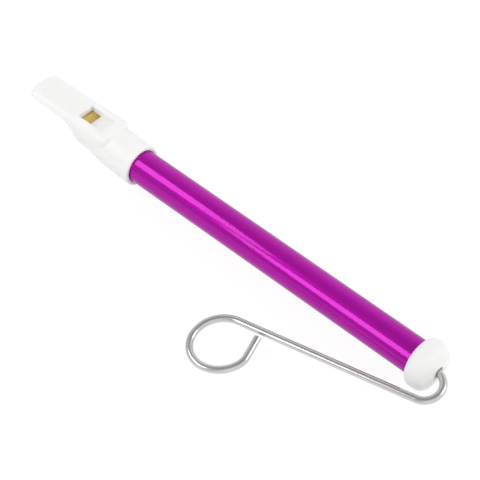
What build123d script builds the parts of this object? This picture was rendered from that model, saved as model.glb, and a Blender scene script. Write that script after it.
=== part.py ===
from build123d import *

import os
from math import asin, cos, radians, sin, tan

# Slide whistle, in millimetres. The tube lies along X, with the blowing end at -X and the cap at +X.
# +Z is up through the sound window, and the finger ring lies on the -Y side.
# The origin is on the tube's axis, halfway along the bare stretch that a clip or a hand holds.

# Tube
bare_length = 160.7  # from the mouthpiece's rim to the back of the cap
tube_diameter = 16.0
tube_wall = 0.5
glue_gap = 0.05  # all round the glued joints

# Mouthpiece: distances run forward from its rim, and heights are above the tube's axis
mouthpiece_length = 67.4
rim_diameter = 20.0
rim_rounding = 0.7
socket_depth = 16.5
socket_lead_in = 0.4
collar_length = 17.0
collar_rise = 1.0  # the collar's centre climbs this far towards the head
neck_reach = 27.0  # where the collar's taper runs out under the head
neck_diameter = 17.6
neck_rise = 1.3
head_width = 18.2
head_height = 11.9
head_belly = 0.3  # height of the centre of the round belly
head_bow = 1.6  # how far the head's back end bows out in plan
head_corner = 3.0
beak_start = 42.0
beak_width = 16.8
beak_height = 11.5
beak_belly = 2.8
tip_height = 11.2
tip_bow = 1.6
tip_corner = 3.2
crown_drop = 0.7  # the top is slightly domed from side to side
crown_rounding = 2.6
tip_underside = 6.6
beak_underside = 5.75
throat_start = 45.2  # where the underside turns down from the beak into the body
throat_radius = 9.0
throat_angle = 60.0
throat_run = 6.0
belly_radius = 8.0
underside_rounding = 1.8

# Windway, sound window and ramp
window_width = 9.0
window_front = 36.4
lip_distance = 31.0
lip_height = 8.0
ramp_angle = 19.0  # rise from the lip to the head's top
windway_floor = 7.4
windway_height = 1.1
windway_tip_floor = 8.0
windway_tip_height = 1.8

# Sound chamber under a flat ceiling, and the block that closes its front
chamber_diameter = 14.9
chamber_rise = 1.5
chamber_front = 37.6  # at the ceiling, which is level with the windway's floor
chamber_slant = 32.4  # degrees that its front leans back from upright
block_slope = 25.0  # degrees that the block's top falls away behind the windway
block_back = 26.0
block_gap = 0.03

# End cap, fullest near its back
cap_diameter = 22.7
cap_fullest = 3.9  # from its back to where it is widest
cap_side = 2.0  # straight stretch in front of that
cap_shoulder_radius = 4.4
cap_shoulder_turn = 71.0
cap_hole_diameter = 5.2
cap_hole_rounding = 0.4
cap_socket_depth = 6.5

# Slide wire, bent from one length: neck, rod, return bend, leg, finger ring and tail
wire_diameter = 3.4
neck_wire_diameter = 2.0
bend_inset = 1.6  # the return bend starts this far inside the cap's hole
leg_angle = 12.4  # spread between the leg and the tube
leg_clearance = 4.0  # between the leg and the cap's rim
leg_length = 83.2
entry_radius = 14.1
entry_turn = 84.0
far_radius = 11.95
far_turn = 95.0
return_radius = 14.95
return_turn = 57.6
tail_radius = 9.3
tail_turn = 36.4
ring_gap = 1.75  # between the tail's end and the leg

# Piston on the wire's neck, held between two washers by a push nut
piston_length = 10.0
piston_clearance = 0.06
swivel_clearance = 0.05
washer_diameter = 13.0
washer_thickness = 0.8
nut_diameter = 6.4
nut_thickness = 1.2
nut_grip = 0.01
neck_tip = 0.8  # neck that stands proud of the nut
end_play = 0.1  # between the turning wire's fittings and the washers
rest_gap = 1.0  # from the tube's inner end to the wire's tip, with the slide pushed in

tube_radius = tube_diameter / 2
bore_radius = tube_radius - tube_wall
chamber_radius = chamber_diameter / 2
cap_radius = cap_diameter / 2
wire_radius = wire_diameter / 2
neck_wire_radius = neck_wire_diameter / 2
rim_x = -bare_length / 2
cap_back_x = bare_length / 2
cap_middle_x = cap_back_x + cap_fullest
cap_dome_offset = (cap_radius - cap_shoulder_radius) / cos(radians(cap_shoulder_turn))
cap_dome_radius = cap_shoulder_radius + cap_dome_offset
cap_dome_x = cap_middle_x + cap_side - cap_dome_offset * sin(radians(cap_shoulder_turn))
cap_front_x = cap_dome_x + cap_dome_radius
beyond = mouthpiece_length  # reach of cutters that pass right through

os.makedirs("parts", exist_ok=True)


def ahead(distance):
    return rim_x - distance


def head_section(distance, width, belly, height):
    # Upright sides between a round belly and a slightly domed top
    half_width = width / 2
    with BuildSketch(Plane.YZ.offset(ahead(distance))) as section:
        with BuildLine():
            CenterArc((0, belly), half_width, 180, 180)
            Line((half_width, belly), (half_width, height - crown_drop))
            ThreePointArc((half_width, height - crown_drop), (0, height), (-half_width, height - crown_drop))
            Line((-half_width, height - crown_drop), (-half_width, belly))
        make_face()
    return section.sketch


def outline(faces):
    # The edges that only one of the faces has
    edges = [edge for face in faces for edge in face.edges()]
    return [edge for edge in edges if sum(edge.is_same(other) for other in edges) == 1]


def chamber_plug(inset, front, back):
    # A round plug with a flat top, whose front leans back from the top towards the belly
    radius = chamber_radius - inset
    drop = windway_floor + 2 * radius
    with BuildPart() as plug:
        with BuildSketch(Plane.YZ.offset(ahead(back))):
            with Locations((0, chamber_rise)):
                Circle(radius)
            with Locations((0, windway_floor - inset + radius)):
                Rectangle(2 * radius, 2 * radius, mode=Mode.SUBTRACT)
        extrude(amount=back - front)
        with BuildSketch(Plane.XZ):
            with BuildLine():
                Polyline(
                    (ahead(front), windway_floor),
                    (ahead(front) + drop * tan(radians(chamber_slant)), windway_floor - drop),
                    (ahead(front), windway_floor - drop),
                    close=True,
                )
            make_face()
        extrude(amount=beyond, both=True, mode=Mode.SUBTRACT)
    return plug.part


def windway():
    with BuildPart() as slot:
        with BuildSketch(Plane.XZ):
            with BuildLine():
                Polyline(
                    (ahead(window_front), windway_floor),
                    (ahead(window_front), windway_floor + windway_height),
                    (ahead(mouthpiece_length), windway_tip_floor + windway_tip_height),
                    (ahead(mouthpiece_length), windway_tip_floor),
                    close=True,
                )
            make_face()
        extrude(amount=window_width / 2, both=True)
    return slot.part


def window():
    with BuildPart() as opening:
        with BuildSketch(Plane.XZ):
            with BuildLine():
                Polyline(
                    (ahead(window_front), chamber_rise),
                    (ahead(window_front), beyond),
                    (ahead(lip_distance), beyond),
                    (ahead(lip_distance), chamber_rise),
                    close=True,
                )
            make_face()
        extrude(amount=window_width / 2, both=True)
    return opening.part


chamber = chamber_plug(0, chamber_front, socket_depth)
windway_slot = windway()
window_opening = window()

# Mouthpiece
with BuildPart() as mouthpiece:
    # Head and beak, square at the tip
    add(head_section(collar_length - head_bow, head_width, head_belly, head_height))
    add(head_section(beak_start, beak_width, beak_belly, beak_height))
    add(head_section(mouthpiece_length, beak_width, beak_belly, tip_height))
    loft(ruled=True)
    # Bowed ends, seen from above
    beak_x = ahead(beak_start)
    with BuildSketch(Plane.XY) as plan:
        with BuildLine():
            back = ThreePointArc(
                (ahead(collar_length + head_bow), -head_width),
                (ahead(collar_length - head_bow), 0),
                (ahead(collar_length + head_bow), head_width),
            )
            tip = ThreePointArc(
                (ahead(mouthpiece_length - tip_bow), beak_width / 2),
                (ahead(mouthpiece_length), 0),
                (ahead(mouthpiece_length - tip_bow), -beak_width / 2),
            )
            Polyline(back @ 1, (beak_x, head_width), (beak_x, beak_width / 2), tip @ 0)
            Polyline(tip @ 1, (beak_x, -beak_width / 2), (beak_x, -head_width), back @ 0)
        make_face()
        fillet(plan.vertices().sort_by(Axis.X)[:2], tip_corner)
    extrude(amount=beyond, both=True, mode=Mode.INTERSECT)
    back_face = mouthpiece.faces().sort_by(Axis.X)[-1]
    fillet(back_face.edges().filter_by(lambda edge: abs(edge.tangent_at(0.5).Z) > 0.9), head_corner)
    fillet(outline(mouthpiece.faces().filter_by(lambda face: face.normal_at().Z > 0.9)), crown_rounding)
    # Underside, from the tip along the beak and down the throat to the belly
    with BuildSketch(Plane.XZ):
        with BuildLine():
            floor = Line((ahead(mouthpiece_length), tip_underside), (ahead(throat_start), beak_underside))
            throat = JernArc(floor @ 1, floor % 1, throat_radius, -throat_angle)
            slope = PolarLine(throat @ 1, throat_run, direction=throat % 1)
            belly = JernArc(slope @ 1, slope % 1, belly_radius, throat_angle)
            outside = (ahead(mouthpiece_length), -beyond)
            Polyline(belly @ 1, ((belly @ 1).X, -beyond), outside, floor @ 0)
        make_face()
    extrude(amount=beyond, both=True, mode=Mode.SUBTRACT)
    underside = mouthpiece.faces().filter_by(GeomType.BSPLINE, reverse=True)
    underside = underside.filter_by(lambda face: face.normal_at().Z < -0.1)
    fillet(outline(underside), underside_rounding)
    # Collar, from the round rim to where its taper runs out under the head
    with BuildSketch(Plane.YZ.offset(rim_x)):
        Circle(rim_diameter / 2)
    with BuildSketch(Plane.YZ.offset(ahead(collar_length))):
        with Locations((0, collar_rise)):
            Circle(rim_diameter / 2)
    with BuildSketch(Plane.YZ.offset(ahead(neck_reach))):
        with Locations((0, neck_rise)):
            Circle(neck_diameter / 2)
    loft(ruled=True)
    fillet(mouthpiece.faces().sort_by(Axis.X)[-1].edges(), rim_rounding)
    # Ramp between the cheeks, rising from the lip to the head's top
    ramp_rise = (lip_distance - collar_length) * tan(radians(ramp_angle))
    with BuildSketch(Plane.XZ):
        with BuildLine():
            Polyline(
                (ahead(lip_distance), lip_height),
                (ahead(collar_length), lip_height + ramp_rise),
                (ahead(collar_length), beyond),
                (ahead(lip_distance), beyond),
                close=True,
            )
        make_face()
    extrude(amount=window_width / 2, both=True, mode=Mode.SUBTRACT)
    add([chamber, windway_slot, window_opening], mode=Mode.SUBTRACT)
    # Socket for the tube
    with BuildSketch(Plane.YZ.offset(rim_x)):
        Circle(tube_radius + glue_gap)
    extrude(amount=-socket_depth, mode=Mode.SUBTRACT)
    socket_mouth = mouthpiece.faces().sort_by(Axis.X)[-1].inner_wires()[0]
    chamfer(socket_mouth.edges(), socket_lead_in)
mouthpiece.part.label = "mouthpiece"
export_step(mouthpiece.part, "parts/mouthpiece.step")

# Block, whose top falls away behind the windway
block_body = chamber_plug(block_gap, chamber_front - block_gap, block_back)
block_fall = (window_front - block_back) * tan(radians(block_slope))
with BuildPart() as fipple_block:
    add(block_body)
    with BuildSketch(Plane.XZ):
        with BuildLine():
            Polyline(
                (ahead(window_front), windway_floor),
                (ahead(block_back), windway_floor),
                (ahead(block_back), windway_floor - block_fall),
                close=True,
            )
        make_face()
    extrude(amount=beyond, both=True, mode=Mode.SUBTRACT)
fipple_block.part.label = "fipple_block"
export_step(fipple_block.part, "parts/fipple_block.step")

# Tube
tube_start_x = ahead(socket_depth)
tube_length = socket_depth + bare_length + cap_socket_depth
with BuildPart() as tube:
    with BuildSketch(Plane.YZ.offset(tube_start_x)):
        Circle(tube_radius)
        Circle(bore_radius, mode=Mode.SUBTRACT)
    extrude(amount=tube_length)
tube.part.label = "tube"
export_step(tube.part, "parts/tube.step")

# End cap, a round bun with a socket for the tube and a hole for the wire
with BuildPart() as end_cap:
    with BuildSketch(Plane.XZ):
        with BuildLine():
            side = Line((cap_middle_x, cap_radius), (cap_middle_x + cap_side, cap_radius))
            shoulder = JernArc(side @ 1, side % 1, cap_shoulder_radius, -cap_shoulder_turn)
            dome = JernArc(shoulder @ 1, shoulder % 1, cap_dome_radius, cap_shoulder_turn - 90)
            rear = TangentArc(side @ 0, (cap_back_x, tube_radius), tangent=(-1, 0))
            Polyline(rear @ 1, (cap_back_x, 0), dome @ 1)
        make_face()
    revolve(axis=Axis.X)
    with BuildSketch(Plane.YZ.offset(cap_back_x + cap_socket_depth)):
        Circle(tube_radius + glue_gap)
    extrude(amount=-cap_diameter, mode=Mode.SUBTRACT)
    with BuildSketch(Plane.YZ.offset(cap_back_x)):
        Circle(cap_hole_diameter / 2)
    extrude(amount=cap_diameter, mode=Mode.SUBTRACT)
    fillet(end_cap.edges().sort_by(Axis.X)[-1], cap_hole_rounding)
end_cap.part.label = "end_cap"
export_step(end_cap.part, "parts/end_cap.step")

# Places along the neck, from the tip back to the rod's shoulder
neck_start_x = tube_start_x + rest_gap
nut_x = neck_start_x + neck_tip
front_washer_x = nut_x + nut_thickness + end_play
piston_x = front_washer_x + washer_thickness
rear_washer_x = piston_x + piston_length
shoulder_x = rear_washer_x + washer_thickness + end_play


def ring_piece(start_x, length, outer_radius, inner_radius):
    with BuildPart() as ring:
        with BuildSketch(Plane.YZ.offset(start_x)):
            Circle(outer_radius)
            Circle(inner_radius, mode=Mode.SUBTRACT)
        extrude(amount=length)
    return ring.part


# Piston stack
neck_hole_radius = neck_wire_radius + swivel_clearance
with BuildPart() as piston:
    add(ring_piece(piston_x, piston_length, bore_radius - piston_clearance, neck_hole_radius))
piston.part.label = "piston"
export_step(piston.part, "parts/piston.step")

with BuildPart() as front_washer:
    add(ring_piece(front_washer_x, washer_thickness, washer_diameter / 2, neck_hole_radius))
front_washer.part.label = "front_washer"
export_step(front_washer.part, "parts/front_washer.step")

with BuildPart() as rear_washer:
    add(ring_piece(rear_washer_x, washer_thickness, washer_diameter / 2, neck_hole_radius))
rear_washer.part.label = "rear_washer"
export_step(rear_washer.part, "parts/rear_washer.step")

with BuildPart() as push_nut:
    add(ring_piece(nut_x, nut_thickness, nut_diameter / 2, neck_wire_radius + nut_grip))
push_nut.part.label = "push_nut"
export_step(push_nut.part, "parts/push_nut.step")

# Return bend: its radius leaves the leg clear of the cap's rim
bend_x = cap_front_x - bend_inset
leg_height = cap_radius + leg_clearance + wire_radius
leg_slope = tan(radians(leg_angle))
bend_radius = (leg_height - (bend_x - cap_middle_x) * leg_slope) / (1 + 1 / cos(radians(leg_angle)))


def wire_route(plane):
    with BuildLine(plane) as route:
        rod = Line((shoulder_x, 0), (bend_x, 0))
        bend = JernArc(rod @ 1, rod % 1, bend_radius, 180 - leg_angle)
        leg = PolarLine(bend @ 1, leg_length, direction=bend % 1)
        entry = JernArc(leg @ 1, leg % 1, entry_radius, -entry_turn)
        far = JernArc(entry @ 1, entry % 1, far_radius, -far_turn)
        back = JernArc(far @ 1, far % 1, return_radius, -return_turn)
        tail = JernArc(back @ 1, back % 1, tail_radius, -tail_turn)
        # The tail runs on straight until its end is just clear of the leg
        inward, along = tail % 1, leg % 1
        room = ((tail @ 1) - (leg @ 1)).cross(along).length
        room -= wire_radius * (1 + abs(inward.dot(along))) + ring_gap
        PolarLine(tail @ 1, room / inward.cross(along).length, direction=inward)
    return route.line


# The wire's plane leans down from the tube's axis, so that the ring lies as low as the cap
ring_reach = wire_route(Plane.XY).bounding_box().max.Y
lean = asin((cap_radius - wire_radius) / ring_reach)
wire_plane = Plane(origin=(0, 0, 0), x_dir=(1, 0, 0), z_dir=(0, sin(lean), -cos(lean)))

# Slide wire
with BuildPart() as slide_wire:
    with BuildSketch(Plane.YZ.offset(shoulder_x)):
        Circle(wire_radius)
    sweep(path=wire_route(wire_plane))
    with BuildSketch(Plane.YZ.offset(neck_start_x)):
        Circle(neck_wire_radius)
    extrude(amount=shoulder_x - neck_start_x)
slide_wire.part.label = "slide_wire"
export_step(slide_wire.part, "parts/slide_wire.step")
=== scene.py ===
import math

import bmesh
import bpy
from mathutils import Matrix, Vector


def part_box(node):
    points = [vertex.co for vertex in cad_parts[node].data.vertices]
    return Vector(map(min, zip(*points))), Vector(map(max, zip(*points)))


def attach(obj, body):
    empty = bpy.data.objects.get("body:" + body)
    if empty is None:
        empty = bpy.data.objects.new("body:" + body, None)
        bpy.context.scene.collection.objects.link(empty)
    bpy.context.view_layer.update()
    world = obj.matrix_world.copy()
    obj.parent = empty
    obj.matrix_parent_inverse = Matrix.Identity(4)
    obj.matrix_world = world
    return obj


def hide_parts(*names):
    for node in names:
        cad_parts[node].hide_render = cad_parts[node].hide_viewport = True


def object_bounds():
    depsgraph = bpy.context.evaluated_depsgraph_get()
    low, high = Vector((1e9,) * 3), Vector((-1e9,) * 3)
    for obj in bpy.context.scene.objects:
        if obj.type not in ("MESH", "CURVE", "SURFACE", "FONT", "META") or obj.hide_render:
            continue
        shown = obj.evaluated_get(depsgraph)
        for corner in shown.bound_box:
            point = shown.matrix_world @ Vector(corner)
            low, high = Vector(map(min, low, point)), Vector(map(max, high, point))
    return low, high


# Slide whistle: lengths are in millimetres here and become metres in the scene
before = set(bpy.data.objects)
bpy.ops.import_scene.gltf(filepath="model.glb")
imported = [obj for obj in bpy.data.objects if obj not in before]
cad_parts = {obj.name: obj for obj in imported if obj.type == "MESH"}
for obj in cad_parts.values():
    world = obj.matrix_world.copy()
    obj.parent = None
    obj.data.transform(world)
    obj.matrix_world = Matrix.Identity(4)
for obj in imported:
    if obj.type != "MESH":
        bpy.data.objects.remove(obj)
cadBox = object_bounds()
mm = 0.001
print("frame loaded:", len(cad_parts), "nodes")


def addObject(name, data):
    added = bpy.data.objects.new(name, data)
    bpy.context.scene.collection.objects.link(added)
    return added


# Small helpers for shader trees
def startFinish(name):
    finish = bpy.data.materials.new(name)
    finish.use_nodes = True
    return finish, finish.node_tree, finish.node_tree.nodes["Principled BSDF"]


def objectSpot(tree, stretch=(1, 1, 1)):
    spot = tree.nodes.new("ShaderNodeTexCoord")
    mapping = tree.nodes.new("ShaderNodeMapping")
    mapping.inputs["Scale"].default_value = stretch
    tree.links.new(spot.outputs["Object"], mapping.inputs["Vector"])
    return mapping.outputs["Vector"]


# The pattern is a scale, a detail and a roughness
def noiseOn(tree, spot, pattern):
    noise = tree.nodes.new("ShaderNodeTexNoise")
    for setting, value in zip(("Scale", "Detail", "Roughness"), pattern):
        noise.inputs[setting].default_value = value
    tree.links.new(spot, noise.inputs["Vector"])
    return noise.outputs["Fac"]


# The band is the stretch of the source over which the result changes
def spread(tree, source, band, levels):
    between = tree.nodes.new("ShaderNodeMapRange")
    for setting, value in zip(("From Min", "From Max", "To Min", "To Max"), (*band, *levels)):
        between.inputs[setting].default_value = value
    tree.links.new(source, between.inputs["Value"])
    return between.outputs["Result"]


def colourBetween(tree, source, band, colours):
    ramp = tree.nodes.new("ShaderNodeValToRGB")
    for element, place, colour in zip(ramp.color_ramp.elements, band, colours):
        element.position = place
        element.color = (*colour, 1)
    tree.links.new(source, ramp.inputs["Fac"])
    return ramp.outputs["Color"]


def bumpFrom(tree, height, depth, strength):
    bump = tree.nodes.new("ShaderNodeBump")
    bump.inputs["Distance"].default_value = depth * mm
    bump.inputs["Strength"].default_value = strength
    tree.links.new(height, bump.inputs["Height"])
    return bump.outputs["Normal"]


# White moulded plastic: satin skin, faint flow clouds and a very fine grain
whitePlasticLook = {
    "colours": ((0.905, 0.902, 0.892), (0.93, 0.928, 0.918)),
    "roughness": (0.34, 0.44),
    "cloud": (90, 4, 0.5),
    "cloudBand": (0.3, 0.7),
    "grain": (2600, 2, 0.5),
    "grainDepth": 0.02,
    "grainStrength": 0.25,
    "refraction": 1.46,
    "milkiness": 0.6,
    "milkDepth": 1.5,
}


def makeWhitePlastic(look):
    finish, tree, shader = startFinish("whitePlastic")
    spot = objectSpot(tree)
    cloud = noiseOn(tree, spot, look["cloud"])
    grain = noiseOn(tree, spot, look["grain"])
    colour = colourBetween(tree, cloud, look["cloudBand"], look["colours"])
    rough = spread(tree, cloud, look["cloudBand"], look["roughness"])
    tree.links.new(colour, shader.inputs["Base Color"])
    tree.links.new(rough, shader.inputs["Roughness"])
    tree.links.new(bumpFrom(tree, grain, look["grainDepth"], look["grainStrength"]), shader.inputs["Normal"])
    shader.inputs["IOR"].default_value = look["refraction"]
    shader.inputs["Subsurface Weight"].default_value = look["milkiness"]
    shader.inputs["Subsurface Radius"].default_value = (1, 1, 1)
    shader.inputs["Subsurface Scale"].default_value = look["milkDepth"] * mm
    return finish


# Purple tube: coloured metal under a clear gloss, with fine lines left by drawing
purpleMetalLook = {
    "colours": ((0.395, 0.0005, 0.33), (0.435, 0.0005, 0.365)),
    "metal": 0.36,
    "roughness": (0.15, 0.19),
    "cloud": (60, 3, 0.5),
    "cloudBand": (0.25, 0.75),
    "lineStretch": (6, 420, 420),
    "lines": (3, 5, 0.6),
    "lineBand": (0.3, 0.7),
    "lineDepth": 0.01,
    "lineStrength": 0.04,
    "coatWeight": 0.36,
    "coatRoughness": 0.05,
}


def makePurpleMetal(look):
    finish, tree, shader = startFinish("purpleMetal")
    lines = noiseOn(tree, objectSpot(tree, look["lineStretch"]), look["lines"])
    cloud = noiseOn(tree, objectSpot(tree), look["cloud"])
    colour = colourBetween(tree, cloud, look["cloudBand"], look["colours"])
    rough = spread(tree, lines, look["lineBand"], look["roughness"])
    tree.links.new(colour, shader.inputs["Base Color"])
    tree.links.new(rough, shader.inputs["Roughness"])
    tree.links.new(bumpFrom(tree, lines, look["lineDepth"], look["lineStrength"]), shader.inputs["Normal"])
    shader.inputs["Metallic"].default_value = look["metal"]
    shader.inputs["Specular IOR Level"].default_value = 0
    shader.inputs["Coat Weight"].default_value = look["coatWeight"]
    shader.inputs["Coat Roughness"].default_value = look["coatRoughness"]
    return finish


# Bright plated wire: lines run along the wire, on its own run and turn attributes
wireSteelLook = {
    "colours": ((0.57, 0.57, 0.56), (0.64, 0.64, 0.63)),
    "roughness": (0.17, 0.21),
    "dulling": (160, 4, 0.5),
    "dullBand": (0.3, 0.65),
    "lineStretch": (35, 14, 1),
    "lines": (1, 4, 0.6),
    "lineBand": (0.3, 0.7),
    "lineDepth": 0.01,
    "lineStrength": 0.03,
}


def makeWireSteel(look):
    finish, tree, shader = startFinish("wireSteel")
    place = tree.nodes.new("ShaderNodeCombineXYZ")
    for kept, side in (("run", "X"), ("turn", "Y")):
        attribute = tree.nodes.new("ShaderNodeAttribute")
        attribute.attribute_name = kept
        tree.links.new(attribute.outputs["Fac"], place.inputs[side])
    mapping = tree.nodes.new("ShaderNodeMapping")
    mapping.inputs["Scale"].default_value = look["lineStretch"]
    tree.links.new(place.outputs["Vector"], mapping.inputs["Vector"])
    lines = noiseOn(tree, mapping.outputs["Vector"], look["lines"])
    dulling = noiseOn(tree, objectSpot(tree), look["dulling"])
    colour = colourBetween(tree, dulling, look["dullBand"], look["colours"])
    rough = spread(tree, lines, look["lineBand"], look["roughness"])
    tree.links.new(colour, shader.inputs["Base Color"])
    tree.links.new(rough, shader.inputs["Roughness"])
    tree.links.new(bumpFrom(tree, lines, look["lineDepth"], look["lineStrength"]), shader.inputs["Normal"])
    shader.inputs["Metallic"].default_value = 1
    return finish


# Pale wood of the block, with its grain along the tube; its colours are painted lighter than the wood
# itself, as painted light for the shaded recess under the window
blockWoodWithPaintedLightLook = {
    # Both colours are far lighter than the wood: the block's tan is partly its own colour and partly painted
    # light
    "colours": ((0.91, 0.61, 0.17), (0.96, 0.68, 0.22)),
    "roughness": 0.6,
    "grainStretch": (40, 420, 420),
    "grain": (1.6, 6, 0.65),
    "grainBand": (0.3, 0.62),
    "grainDepth": 0.08,
    "grainStrength": 0.4,
}


def makeBlockWoodWithPaintedLight(look):
    finish, tree, shader = startFinish("blockWoodWithPaintedLight")
    grain = noiseOn(tree, objectSpot(tree, look["grainStretch"]), look["grain"])
    colour = colourBetween(tree, grain, look["grainBand"], look["colours"])
    tree.links.new(colour, shader.inputs["Base Color"])
    tree.links.new(bumpFrom(tree, grain, look["grainDepth"], look["grainStrength"]), shader.inputs["Normal"])
    shader.inputs["Roughness"].default_value = look["roughness"]
    return finish


# Pressed felt, with short fibres in it
pistonFeltLook = {
    "colours": ((0.34, 0.31, 0.27), (0.62, 0.59, 0.53)),
    "roughness": 0.95,
    "sheen": 0.4,
    "fibreStretch": (1, 1.6, 1.6),
    "fibre": (1500, 6, 0.7),
    "fibreBand": (0.3, 0.7),
    "fibreDepth": 0.3,
    "fibreStrength": 0.7,
}


def makePistonFelt(look):
    finish, tree, shader = startFinish("pistonFelt")
    fibre = noiseOn(tree, objectSpot(tree, look["fibreStretch"]), look["fibre"])
    colour = colourBetween(tree, fibre, look["fibreBand"], look["colours"])
    tree.links.new(colour, shader.inputs["Base Color"])
    tree.links.new(bumpFrom(tree, fibre, look["fibreDepth"], look["fibreStrength"]), shader.inputs["Normal"])
    shader.inputs["Roughness"].default_value = look["roughness"]
    shader.inputs["Sheen Weight"].default_value = look["sheen"]
    return finish


# Zinc plated stampings
washerSteelLook = {
    "colours": ((0.42, 0.42, 0.41), (0.62, 0.62, 0.61)),
    "roughness": (0.28, 0.45),
    "spangle": (700, 4, 0.6),
    "spangleBand": (0.3, 0.7),
    "spangleDepth": 0.02,
    "spangleStrength": 0.3,
}


def makeWasherSteel(look):
    finish, tree, shader = startFinish("washerSteel")
    spangle = noiseOn(tree, objectSpot(tree), look["spangle"])
    colour = colourBetween(tree, spangle, look["spangleBand"], look["colours"])
    rough = spread(tree, spangle, look["spangleBand"], look["roughness"])
    bump = bumpFrom(tree, spangle, look["spangleDepth"], look["spangleStrength"])
    tree.links.new(colour, shader.inputs["Base Color"])
    tree.links.new(rough, shader.inputs["Roughness"])
    tree.links.new(bump, shader.inputs["Normal"])
    shader.inputs["Metallic"].default_value = 1
    return finish


whitePlastic = makeWhitePlastic(whitePlasticLook)
purpleMetal = makePurpleMetal(purpleMetalLook)
wireSteel = makeWireSteel(wireSteelLook)
blockWoodWithPaintedLight = makeBlockWoodWithPaintedLight(blockWoodWithPaintedLightLook)
pistonFelt = makePistonFelt(pistonFeltLook)
washerSteel = makeWasherSteel(washerSteelLook)
print("finishes made")


# A finished piece rides on its body and stands for its node
def settle(piece, body, node):
    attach(piece, body)
    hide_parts(node)
    print("piece", piece.name, len(piece.data.polygons), "faces")


# Turned pieces: a closed outline of (x, radius) pairs goes round the tube's axis
def turned(name, outline, finish, sides, sharpAngle):
    shell = bmesh.new()
    turns = [2 * math.pi * step / sides for step in range(sides)]
    rings = []
    for x, radius in outline:
        spots = [Vector((x, radius * math.cos(t), radius * math.sin(t))) * mm for t in turns]
        rings.append([shell.verts.new(spot) for spot in spots])
    for ring, following in zip(rings, rings[1:] + rings[:1]):
        for step in range(sides):
            after = (step + 1) % sides
            shell.faces.new((ring[step], ring[after], following[after], following[step]))
    bmesh.ops.recalc_face_normals(shell, faces=shell.faces)
    mesh = bpy.data.meshes.new(name)
    shell.to_mesh(mesh)
    shell.free()
    mesh.materials.append(finish)
    mesh.shade_smooth()
    mesh.set_sharp_from_angle(angle=math.radians(sharpAngle))
    return addObject(name, mesh)


# Arc of an outline round its centre, from one direction to another
def roundEdge(centre, radius, startTurn, endTurn, steps):
    turns = [math.radians(startTurn + (endTurn - startTurn) * step / steps) for step in range(steps + 1)]
    return [(centre[0] + radius * math.cos(t), centre[1] + radius * math.sin(t)) for t in turns]


# Purple tube
tubeSizes = {
    "wall": 0.5,
    "edge": 0.12,
    "edgeSteps": 3,
    "ringFromEnd": 0.36,
    "sides": 160,
    "sharpAngle": 50,
}


def makeTube(sizes):
    low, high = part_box("tube")
    start, end, outer = low.x / mm, high.x / mm, high.y / mm
    inner = outer - sizes["wall"]
    edge, steps = sizes["edge"], sizes["edgeSteps"]
    # A short ring beside each end keeps the long walls straight in the shading
    firstRing, lastRing = start + sizes["ringFromEnd"], end - sizes["ringFromEnd"]
    outline = [(start, inner + edge), (start + edge, inner), (firstRing, inner)]
    outline += [(lastRing, inner), (end - edge, inner), (end, inner + edge)]
    outline += roundEdge((end - edge, outer - edge), edge, 0, 90, steps)
    outline += [(lastRing, outer), (firstRing, outer)]
    outline += roundEdge((start + edge, outer - edge), edge, 90, 180, steps)
    return turned("tubeSkin", outline, purpleMetal, sizes["sides"], sizes["sharpAngle"])


settle(makeTube(tubeSizes), "whistle", "tube")

# End cap, a full bun with a socket for the tube and a soft-edged hole for the wire
endCapSizes = {
    "back": 80.35,
    "fullest": 3.9,
    "side": 2.0,
    "shoulderRadius": 4.4,
    "shoulderTurn": 71.0,
    "tubeRadius": 8.0,
    "socketRadius": 8.05,
    "socketDepth": 6.5,
    "holeRadius": 2.6,
    "holeRounding": 0.4,
    "lipRounding": 0.12,
    "rearSteps": 16,
    "shoulderSteps": 18,
    "domeSteps": 14,
    "holeSteps": 5,
    "sides": 144,
    "sharpAngle": 45,
}


def makeEndCap(sizes):
    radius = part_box("end_cap")[1].y / mm
    middle = sizes["back"] + sizes["fullest"]
    # Rear, from the lip round the tube to the widest place
    drop = radius - sizes["tubeRadius"]
    rear = (sizes["fullest"] ** 2 + drop**2) / (2 * drop)
    lip = (sizes["socketRadius"] + sizes["lipRounding"] - radius + rear) / rear
    lipTurn = 180 - math.degrees(math.asin(lip))
    outline = roundEdge((middle, radius - rear), rear, lipTurn, 90, sizes["rearSteps"])
    # Shoulder, and the dome that leads from it to the hole
    shoulder, ending = sizes["shoulderRadius"], 90 - sizes["shoulderTurn"]
    front = middle + sizes["side"]
    outline += roundEdge((front, radius - shoulder), shoulder, 90, ending, sizes["shoulderSteps"])
    offset = (radius - shoulder) / math.sin(math.radians(ending))
    domeMiddle = front - offset * math.cos(math.radians(ending))
    rounding = sizes["holeRounding"]
    mouthTurn = math.degrees(math.asin((sizes["holeRadius"] + rounding) / (shoulder + offset)))
    outline += roundEdge((domeMiddle, 0), shoulder + offset, ending, mouthTurn, sizes["domeSteps"])[1:]
    mouth = (outline[-1][0] - rounding, sizes["holeRadius"] + rounding)
    outline += roundEdge(mouth, rounding, 0, -90, sizes["holeSteps"])[1:]
    floor = sizes["back"] + sizes["socketDepth"]
    outline += [(floor, sizes["holeRadius"]), (floor, sizes["socketRadius"])]
    outline.append((outline[0][0] + sizes["lipRounding"], sizes["socketRadius"]))
    return turned("endCapBall", outline, whitePlastic, sizes["sides"], sizes["sharpAngle"])


settle(makeEndCap(endCapSizes), "whistle", "end_cap")

# Felt plug with round edges and a slight waist
pistonSizes = {
    "boreRadius": 1.05,
    "edge": 1.1,
    "edgeSteps": 6,
    "waist": 0.08,
    "sides": 96,
    "sharpAngle": 60,
}


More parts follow.
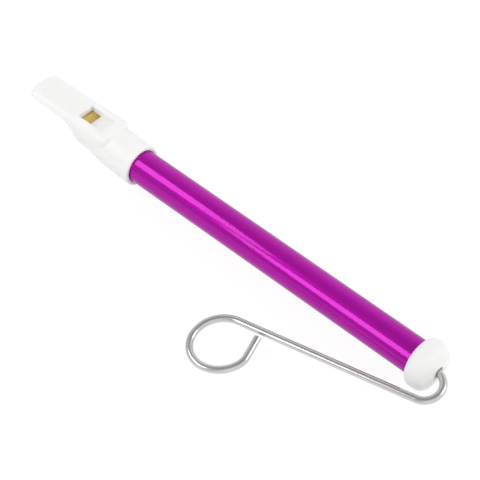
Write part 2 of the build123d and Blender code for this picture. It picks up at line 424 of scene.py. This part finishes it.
def makePiston(sizes):
    low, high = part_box("piston")
    start, end, outer = low.x / mm, high.x / mm, high.y / mm
    edge, steps = sizes["edge"], sizes["edgeSteps"]
    outline = [(start, sizes["boreRadius"]), (end, sizes["boreRadius"])]
    outline += roundEdge((end - edge, outer - edge), edge, 0, 90, steps)
    outline.append(((start + end) / 2, outer - sizes["waist"]))
    outline += roundEdge((start + edge, outer - edge), edge, 90, 180, steps)
    return turned("pistonFelt", outline, pistonFelt, sizes["sides"], sizes["sharpAngle"])


settle(makePiston(pistonSizes), "plunger", "piston")

# Mouthpiece: the CAD shape with its edges softened as a mould leaves them
mouthpieceSizes = {
    "weld": 0.002,
    "cell": 0.32,
    "softening": 0.5,
    "softenings": 2,
}


def makeMouthpiece(sizes):
    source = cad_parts["mouthpiece"].data.copy()
    merged = bmesh.new()
    merged.from_mesh(source)
    bmesh.ops.remove_doubles(merged, verts=merged.verts, dist=sizes["weld"] * mm)
    merged.to_mesh(source)
    merged.free()
    source.materials.clear()
    target = addObject("mouthpieceTarget", source)
    rough = addObject("mouthpieceRough", source.copy())
    remesh = rough.modifiers.new("remesh", "REMESH")
    remesh.mode = "VOXEL"
    remesh.voxel_size = sizes["cell"] * mm
    wrap = rough.modifiers.new("wrap", "SHRINKWRAP")
    wrap.target = target
    wrap.wrap_method = "NEAREST_SURFACEPOINT"
    soften = rough.modifiers.new("soften", "SMOOTH")
    soften.factor = sizes["softening"]
    soften.iterations = sizes["softenings"]
    bpy.context.view_layer.update()
    shaped = rough.evaluated_get(bpy.context.evaluated_depsgraph_get())
    mesh = bpy.data.meshes.new_from_object(shaped)
    bpy.data.objects.remove(rough)
    bpy.data.objects.remove(target)
    mesh.name = "mouthpieceShell"
    mesh.materials.clear()
    mesh.materials.append(whitePlastic)
    mesh.shade_smooth()
    return addObject("mouthpieceShell", mesh)


settle(makeMouthpiece(mouthpieceSizes), "whistle", "mouthpiece")

# Slide wire: one route of straight runs and round bends, in a plane that leans from the tube's axis
slideWireSizes = {
    "thickness": 3.4,
    "neckThickness": 2.0,
    "neckStart": -95.85,
    "neckOverlap": 0.4,
    "shoulder": -82.05,
    "bendStart": 90.213,
    "capMiddle": 84.25,
    "legHeight": 17.05,
    "legAngle": 12.4,
    "legLength": 83.2,
    "ringArcs": ((14.1, 84.0), (11.95, 95.0), (14.95, 57.6), (9.3, 36.4)),
    "ringGap": 1.75,
    "largestTurn": 50,
    "curveSteps": 24,
    "step": 0.5,
    "sides": 32,
    "sharpAngle": 40,
}


class WireBender:
    def __init__(self, x, across, heading, largestTurn):
        self.spot = Vector((x, across))
        self.heading = heading
        self.largestTurn = largestTurn
        self.leaving = self.way()
        self.knots = [[self.spot.copy(), self.spot.copy(), self.spot.copy()]]

    def way(self):
        return Vector((math.cos(self.heading), math.sin(self.heading)))

    def addKnot(self, handle):
        self.knots[-1][2] = self.knots[-1][0] + self.leaving * handle
        self.knots.append([self.spot.copy(), self.spot - self.way() * handle, self.spot.copy()])

    def run(self, length):
        self.leaving = self.way()
        self.spot = self.spot + self.leaving * length
        self.addKnot(length / 3)

    def bend(self, radius, degrees):
        pieces = math.ceil(abs(degrees) / self.largestTurn)
        turn = math.radians(degrees) / pieces
        chord = 2 * radius * math.sin(abs(turn) / 2)
        for _ in range(pieces):
            self.leaving = self.way()
            middle = self.heading + turn / 2
            self.spot = self.spot + Vector((math.cos(middle), math.sin(middle))) * chord
            self.heading += turn
            self.addKnot(4 / 3 * math.tan(abs(turn) / 4) * radius)


def bendWire(sizes):
    slope = math.radians(sizes["legAngle"])
    rise = sizes["legHeight"] - (sizes["bendStart"] - sizes["capMiddle"]) * math.tan(slope)
    wire = WireBender(sizes["shoulder"], 0, 0, sizes["largestTurn"])
    wire.run(sizes["bendStart"] - sizes["shoulder"])
    wire.bend(rise / (1 + 1 / math.cos(slope)), 180 - sizes["legAngle"])
    wire.run(sizes["legLength"])
    legEnd, legWay = wire.spot.copy(), wire.way()
    for radius, degrees in sizes["ringArcs"]:
        wire.bend(radius, -degrees)
    # The tail stops just short of the leg
    inward = wire.way()
    room = abs((wire.spot - legEnd).cross(legWay))
    room -= sizes["thickness"] / 2 * (1 + abs(inward.dot(legWay))) + sizes["ringGap"]
    wire.run(room / abs(inward.cross(legWay)))
    return wire.knots


def wireTree(sizes):
    tree = bpy.data.node_groups.new("wireAlongRoute", "GeometryNodeTree")
    face = tree.interface
    face.new_socket("Geometry", in_out="INPUT", socket_type="NodeSocketGeometry")
    thickness = face.new_socket("Thickness", in_out="INPUT", socket_type="NodeSocketFloat")
    sides = face.new_socket("Sides", in_out="INPUT", socket_type="NodeSocketInt")
    step = face.new_socket("Step", in_out="INPUT", socket_type="NodeSocketFloat")
    face.new_socket("Geometry", in_out="OUTPUT", socket_type="NodeSocketGeometry")
    make, link = tree.nodes.new, tree.links.new
    given = make("NodeGroupInput")
    even = make("GeometryNodeResampleCurve")
    even.mode = "LENGTH"
    link(given.outputs["Geometry"], even.inputs["Curve"])
    link(given.outputs["Step"], even.inputs["Length"])
    # How far along and how far round each point is, for the finish
    routePlace = make("GeometryNodeSplineParameter")
    keepRun = make("GeometryNodeStoreNamedAttribute")
    keepRun.data_type = "FLOAT"
    keepRun.inputs["Name"].default_value = "run"
    link(even.outputs["Curve"], keepRun.inputs["Geometry"])
    link(routePlace.outputs["Length"], keepRun.inputs["Value"])
    half = make("ShaderNodeMath")
    half.operation = "MULTIPLY"
    half.inputs[1].default_value = 0.5
    link(given.outputs["Thickness"], half.inputs[0])
    circle = make("GeometryNodeCurvePrimitiveCircle")
    link(given.outputs["Sides"], circle.inputs["Resolution"])
    link(half.outputs["Value"], circle.inputs["Radius"])
    keepTurn = make("GeometryNodeStoreNamedAttribute")
    keepTurn.data_type = "FLOAT"
    keepTurn.inputs["Name"].default_value = "turn"
    turnPlace = make("GeometryNodeSplineParameter")
    link(circle.outputs["Curve"], keepTurn.inputs["Geometry"])
    link(turnPlace.outputs["Factor"], keepTurn.inputs["Value"])
    body = make("GeometryNodeCurveToMesh")
    body.inputs["Fill Caps"].default_value = True
    link(keepRun.outputs["Geometry"], body.inputs["Curve"])
    link(keepTurn.outputs["Geometry"], body.inputs["Profile Curve"])
    real = make("GeometryNodeRealizeInstances")
    painted = make("GeometryNodeSetMaterial")
    painted.inputs["Material"].default_value = wireSteel
    result = make("NodeGroupOutput")
    link(body.outputs["Mesh"], real.inputs["Geometry"])
    link(real.outputs["Geometry"], painted.inputs["Geometry"])
    link(painted.outputs["Geometry"], result.inputs["Geometry"])
    values = {
        thickness.identifier: sizes["thickness"] * mm,
        sides.identifier: sizes["sides"],
        step.identifier: sizes["step"] * mm,
    }
    return tree, values


def makeSlideWire(sizes):
    knots = bendWire(sizes)
    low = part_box("slide_wire")[0]
    half = sizes["thickness"] / 2 * mm
    lean = math.atan2(-low.z - half, -low.y - half)

    def onPlane(spot):
        return Vector((spot.x, -spot.y * math.cos(lean), -spot.y * math.sin(lean))) * mm

    curve = bpy.data.curves.new("wireRoute", "CURVE")
    curve.dimensions = "3D"
    curve.resolution_u = sizes["curveSteps"]
    spline = curve.splines.new("BEZIER")
    spline.bezier_points.add(len(knots) - 1)
    for point, (spot, before, after) in zip(spline.bezier_points, knots):
        point.handle_left_type = "FREE"
        point.handle_right_type = "FREE"
        point.co = onPlane(spot)
        point.handle_left = onPlane(before)
        point.handle_right = onPlane(after)
    route = addObject("wireRoute", curve)
    tree, values = wireTree(sizes)
    bender = route.modifiers.new("wireAlongRoute", "NODES")
    bender.node_group = tree
    for identifier, value in values.items():
        bender[identifier] = value
    bpy.context.view_layer.update()
    mesh = bpy.data.meshes.new_from_object(route.evaluated_get(bpy.context.evaluated_depsgraph_get()))
    bpy.data.objects.remove(route)
    # The thin neck that carries the piston
    wire = bmesh.new()
    wire.from_mesh(mesh)
    length = sizes["shoulder"] - sizes["neckStart"] + sizes["neckOverlap"]
    place = Matrix.Translation(((sizes["neckStart"] + length / 2) * mm, 0, 0))
    neckRadius = sizes["neckThickness"] / 2 * mm
    bmesh.ops.create_cone(
        wire,
        cap_ends=True,
        segments=sizes["sides"],
        radius1=neckRadius,
        radius2=neckRadius,
        depth=length * mm,
        matrix=place @ Matrix.Rotation(math.pi / 2, 4, "Y"),
    )
    wire.to_mesh(mesh)
    wire.free()
    mesh.name = "slideWireBent"
    mesh.shade_smooth()
    mesh.set_sharp_from_angle(angle=math.radians(sizes["sharpAngle"]))
    print("wire leans", round(math.degrees(lean), 3), "degrees")
    return addObject("slideWireBent", mesh)


settle(makeSlideWire(slideWireSizes), "wire", "slide_wire")


# CAD nodes that keep their own shape get their finish here
for node, finish in (
    ("fipple_block", blockWoodWithPaintedLight),
    ("front_washer", washerSteel),
    ("rear_washer", washerSteel),
    ("push_nut", washerSteel),
):
    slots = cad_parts[node].data.materials
    slots.clear()
    slots.append(finish)
print("CAD nodes finished")


# Floor: white to the eye and in reflections, with a little of the whistle's shadow kept
floorLook = {
    "half": 2500,
    "glow": 0.89,
    "shadowShare": 0.16,
    "bounce": 0.80,
}


def makeFloor(look):
    board = bmesh.new()
    bmesh.ops.create_grid(board, x_segments=1, y_segments=1, size=look["half"] * mm)
    mesh = bpy.data.meshes.new("floor")
    board.to_mesh(mesh)
    board.free()
    floor = addObject("floor", mesh)
    floor.location = (0, 0, cadBox[0].z)
    finish = bpy.data.materials.new("floorWhite")
    finish.use_nodes = True
    tree = finish.node_tree
    tree.nodes.clear()
    make, link = tree.nodes.new, tree.links.new
    rays = make("ShaderNodeLightPath")
    seen = make("ShaderNodeMath")
    seen.operation = "MAXIMUM"
    link(rays.outputs["Is Camera Ray"], seen.inputs[0])
    link(rays.outputs["Is Glossy Ray"], seen.inputs[1])
    glow = make("ShaderNodeEmission")
    glow.inputs["Strength"].default_value = look["glow"]
    shade = make("ShaderNodeBsdfDiffuse")
    shade.inputs["Color"].default_value = (*[look["shadowShare"]] * 3, 1)
    both = make("ShaderNodeAddShader")
    link(glow.outputs["Emission"], both.inputs[0])
    link(shade.outputs["BSDF"], both.inputs[1])
    bounce = make("ShaderNodeBsdfDiffuse")
    bounce.inputs["Color"].default_value = (*[look["bounce"]] * 3, 1)
    mix = make("ShaderNodeMixShader")
    link(seen.outputs["Value"], mix.inputs["Fac"])
    link(bounce.outputs["BSDF"], mix.inputs[1])
    link(both.outputs["Shader"], mix.inputs[2])
    out = make("ShaderNodeOutputMaterial")
    link(mix.outputs["Shader"], out.inputs["Surface"])
    mesh.materials.append(finish)


makeFloor(floorLook)

# Room: white backdrop behind the whistle and past its cap, dimmer overhead and on the near left
roomLook = {
    "dim": 0.62,
    "overhead": 0.42,
    "backdrop": 1.05,
    "backBand": (-0.1, 0.6),
    "sideBand": (0.1, 0.7),
    "topBand": (0.55, 0.9),
    "overheadBand": (0.75, 0.93),
}


def makeRoom(look):
    world = bpy.data.worlds.new("studio")
    bpy.context.scene.world = world
    world.use_nodes = True
    tree = world.node_tree
    tree.nodes.clear()
    make, link = tree.nodes.new, tree.links.new
    toward = make("ShaderNodeTexCoord")
    parts = make("ShaderNodeSeparateXYZ")
    link(toward.outputs["Generated"], parts.inputs["Vector"])
    behind = spread(tree, parts.outputs["Y"], look["backBand"], (0, 1))
    beside = spread(tree, parts.outputs["X"], look["sideBand"], (0, 1))
    low = spread(tree, parts.outputs["Z"], look["topBand"], (1, 0))
    either = make("ShaderNodeMath")
    either.operation = "MAXIMUM"
    link(behind, either.inputs[0])
    link(beside, either.inputs[1])
    share = make("ShaderNodeMath")
    share.operation = "MULTIPLY"
    link(either.outputs["Value"], share.inputs[0])
    link(low, share.inputs[1])
    plainWall = spread(tree, parts.outputs["Z"], look["overheadBand"], (look["dim"], look["overhead"]))
    level = make("ShaderNodeMapRange")
    link(share.outputs["Value"], level.inputs["Value"])
    link(plainWall, level.inputs["To Min"])
    level.inputs["To Max"].default_value = look["backdrop"]
    # The camera itself sees plain white
    rays = make("ShaderNodeLightPath")
    white = make("ShaderNodeBackground")
    white.inputs["Color"].default_value = (1, 1, 1, 1)
    soft = make("ShaderNodeBackground")
    soft.inputs["Color"].default_value = (1, 1, 1, 1)
    link(level.outputs["Result"], soft.inputs["Strength"])
    mix = make("ShaderNodeMixShader")
    link(rays.outputs["Is Camera Ray"], mix.inputs["Fac"])
    link(soft.outputs["Background"], mix.inputs[1])
    link(white.outputs["Background"], mix.inputs[2])
    out = make("ShaderNodeOutputWorld")
    link(mix.outputs["Shader"], out.inputs["Surface"])


makeRoom(roomLook)

# Lamps: two soft panels on the near left, whose reflections run along the tube, and one far right
lampSizes = {
    "rightPanel": {
        "from": (0, 0, 0),
        "toward": (0.68, 0.52, 0.52),
        "away": 1300,
        "shift": (0, 0),
        "size": (600, 800),
        "tilt": 0,
        "level": 2.6,
    },
    "leftPanel": {
        "from": (-48, -4, 7),
        "toward": (-0.506, -0.425, 0.75),
        "away": 1100,
        "shift": (-70, -30),
        "size": (380, 620),
        "tilt": -14,
        "level": 3.3,
    },
    "nearPanel": {
        "from": (18.7, -5.6, 5.6),
        "toward": (-0.432, -0.757, 0.489),
        "away": 1100,
        "shift": (160, 80),
        "size": (500, 560),
        "tilt": 0,
        "level": 3.3,
    },
}


def makeLamps(lamps):
    for name, sizes in lamps.items():
        lamp = bpy.data.lights.new(name, "AREA")
        lamp.shape = "ELLIPSE"
        lamp.size, lamp.size_y = (side * mm for side in sizes["size"])
        # The level is the brightness of the panel's face, whatever its area
        area = math.pi / 4 * lamp.size * lamp.size_y
        lamp.energy = sizes["level"] * math.pi * area
        back = Vector(sizes["toward"]).normalized()
        across = Vector((1, 0, 0))
        across = (across - back * across.dot(back)).normalized()
        up = back.cross(across)
        turn = Matrix((across, up, back)).transposed().to_4x4()
        turn = turn @ Matrix.Rotation(math.radians(sizes["tilt"]), 4, "Z")
        spot = Vector(sizes["from"]) + back * sizes["away"]
        spot += across * sizes["shift"][0] + up * sizes["shift"][1]
        addObject(name, lamp).matrix_world = Matrix.Translation(spot * mm) @ turn


makeLamps(lampSizes)

# Camera, at the angle of the photo
cameraSizes = {
    "aim": (-80.35, 0, 0),
    "azimuth": 43.248,
    "elevation": 47.872,
    "away": 753.931,
    "right": 44.382,
    "up": -33.391,
    "lens": 124.585,
    "sensor": 36,
    "nearest": 10,
    "farthest": 20000,
}


def makeCamera(sizes):
    lens = bpy.data.cameras.new("photoCamera")
    lens.sensor_width = sizes["sensor"]
    lens.lens = sizes["lens"]
    lens.clip_start = sizes["nearest"] * mm
    lens.clip_end = sizes["farthest"] * mm
    camera = addObject("photoCamera", lens)
    turn, tilt = math.radians(sizes["azimuth"]), math.radians(sizes["elevation"])
    right = Vector((math.cos(turn), math.sin(turn), 0))
    back = Vector((math.sin(turn) * math.cos(tilt), -math.cos(turn) * math.cos(tilt), math.sin(tilt)))
    up = back.cross(right)
    spot = Vector(sizes["aim"]) + right * sizes["right"] + up * sizes["up"] + back * sizes["away"]
    camera.matrix_world = Matrix.Translation(spot * mm) @ Matrix((right, up, back)).transposed().to_4x4()
    bpy.context.scene.camera = camera


makeCamera(cameraSizes)
bpy.context.scene.view_settings.view_transform = "Standard"
print("stage, lamps and camera made")
